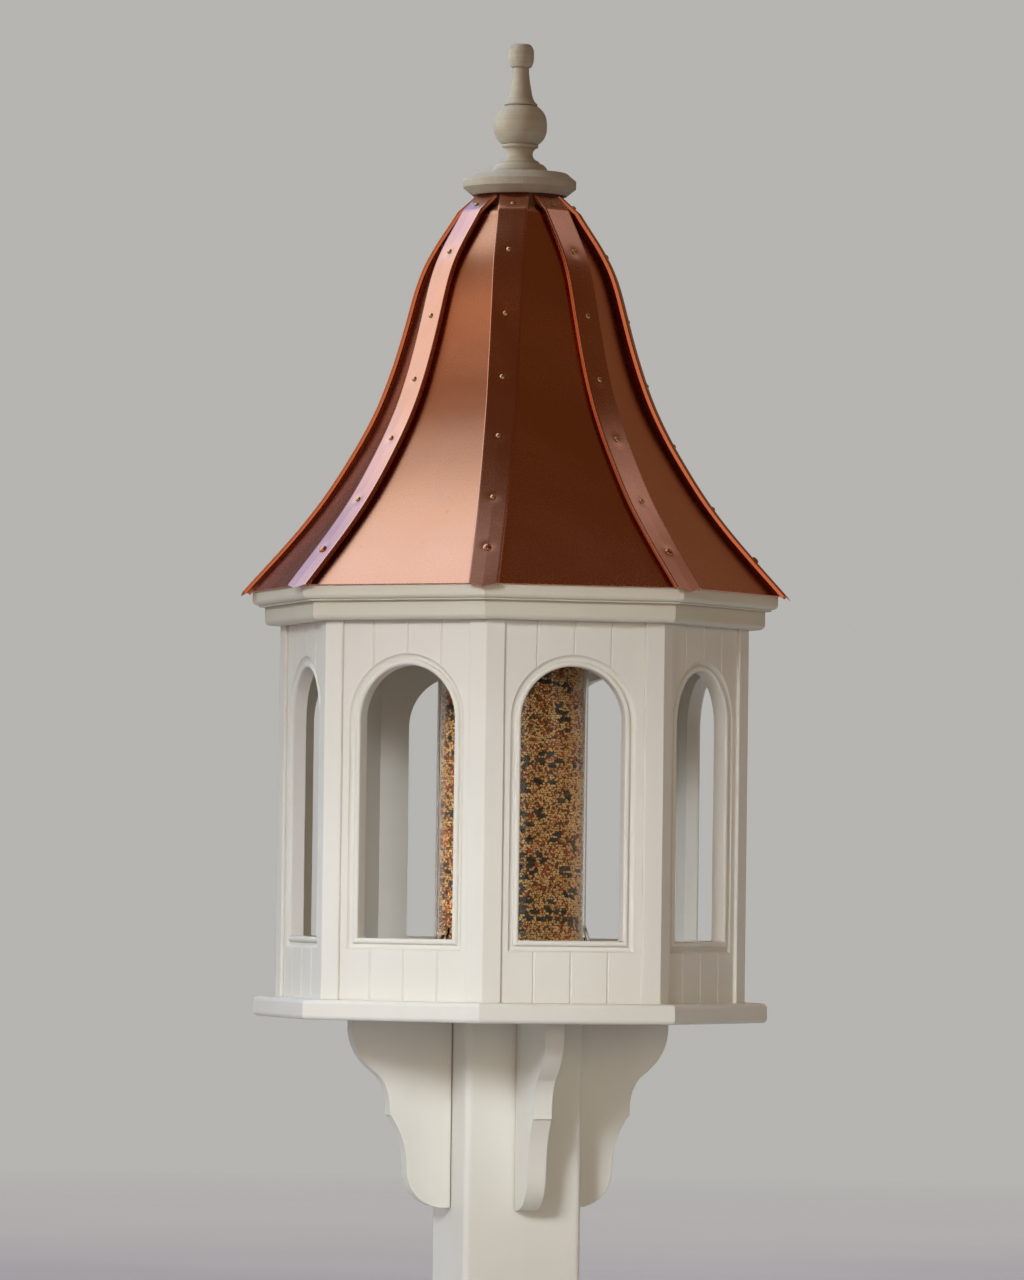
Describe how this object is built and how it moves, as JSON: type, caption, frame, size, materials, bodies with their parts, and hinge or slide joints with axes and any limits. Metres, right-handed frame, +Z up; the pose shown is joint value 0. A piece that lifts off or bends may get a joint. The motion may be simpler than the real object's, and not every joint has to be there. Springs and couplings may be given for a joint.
{
  "type": "bird feeder",
  "caption": "Octagonal gazebo bird feeder on a square post sleeve, with arched windows, a bell roof of bent copper sheet, a clear seed tube and a lift-off finial lid.",
  "frame": {"origin": "centre of the post sleeve's open bottom end", "axes": "+Z up along the sleeve; the sleeve's sides, its brackets and four of the walls face +X, +Y, -X and -Y"},
  "size_m": [0.4314, 0.4314, 1.1284],
  "materials": {
    "vinyl": "satin white cellular vinyl board and sleeve",
    "copper": "satin copper sheet, lightly toned by weather",
    "brass": "dull brass nail heads",
    "clear_plastic": "clear polycarbonate tube",
    "seed": "mixed millet, milo and sunflower seed",
    "painted_wood": "turned wood, old off-white paint",
    "timber": "plain softwood",
    "steel": "stainless screws"
  },
  "bodies": {
    "feeder": {"block_screws": "steel", "bracket_1": "vinyl", "bracket_2": "vinyl", "bracket_3": "vinyl", "bracket_4": "vinyl", "bracket_screws": "steel", "ceiling_board": "vinyl", "corner_trim_1": "vinyl", "corner_trim_2": "vinyl", "corner_trim_3": "vinyl", "corner_trim_4": "vinyl", "corner_trim_5": "vinyl", "corner_trim_6": "vinyl", "corner_trim_7": "vinyl", "corner_trim_8": "vinyl", "crown_ring": "timber", "eave_rivets": "copper", "floor_board": "vinyl", "mounting_block": "timber", "outlet_hoods": "clear_plastic", "post_sleeve": "vinyl", "rib_screws": "steel", "ridge_cap_1": "copper", "ridge_cap_2": "copper", "ridge_cap_3": "copper", "ridge_cap_4": "copper", "ridge_cap_5": "copper", "ridge_cap_6": "copper", "ridge_cap_7": "copper", "ridge_cap_8": "copper", "ridge_pins": "brass", "roof_base_board": "vinyl", "roof_panel_1": "copper", "roof_panel_2": "copper", "roof_panel_3": "copper", "roof_panel_4": "copper", "roof_panel_5": "copper", "roof_panel_6": "copper", "roof_panel_7": "copper", "roof_panel_8": "copper", "roof_ribs": "timber", "roof_screws": "steel", "seed_cone": "timber", "seed_fill": "seed", "seed_tube": "clear_plastic", "sleeve_screws": "steel", "wall_foot_screws": "steel", "wall_head_screws": "steel", "wall_panel_1": "vinyl", "wall_panel_2": "vinyl", "wall_panel_3": "vinyl", "wall_panel_4": "vinyl", "wall_panel_5": "vinyl", "wall_panel_6": "vinyl", "wall_panel_7": "vinyl", "wall_panel_8": "vinyl"},
    "lid": {"lid_disc": "painted_wood", "lid_plug": "painted_wood", "finial": "painted_wood", "finial_stud": "timber"}
  },
  "joints": [
    {"name": "lid_lift", "type": "slide", "parent": "feeder", "child": "lid", "axis": [0, 0, 1], "range_m": [0, 0.12]}
  ]
}
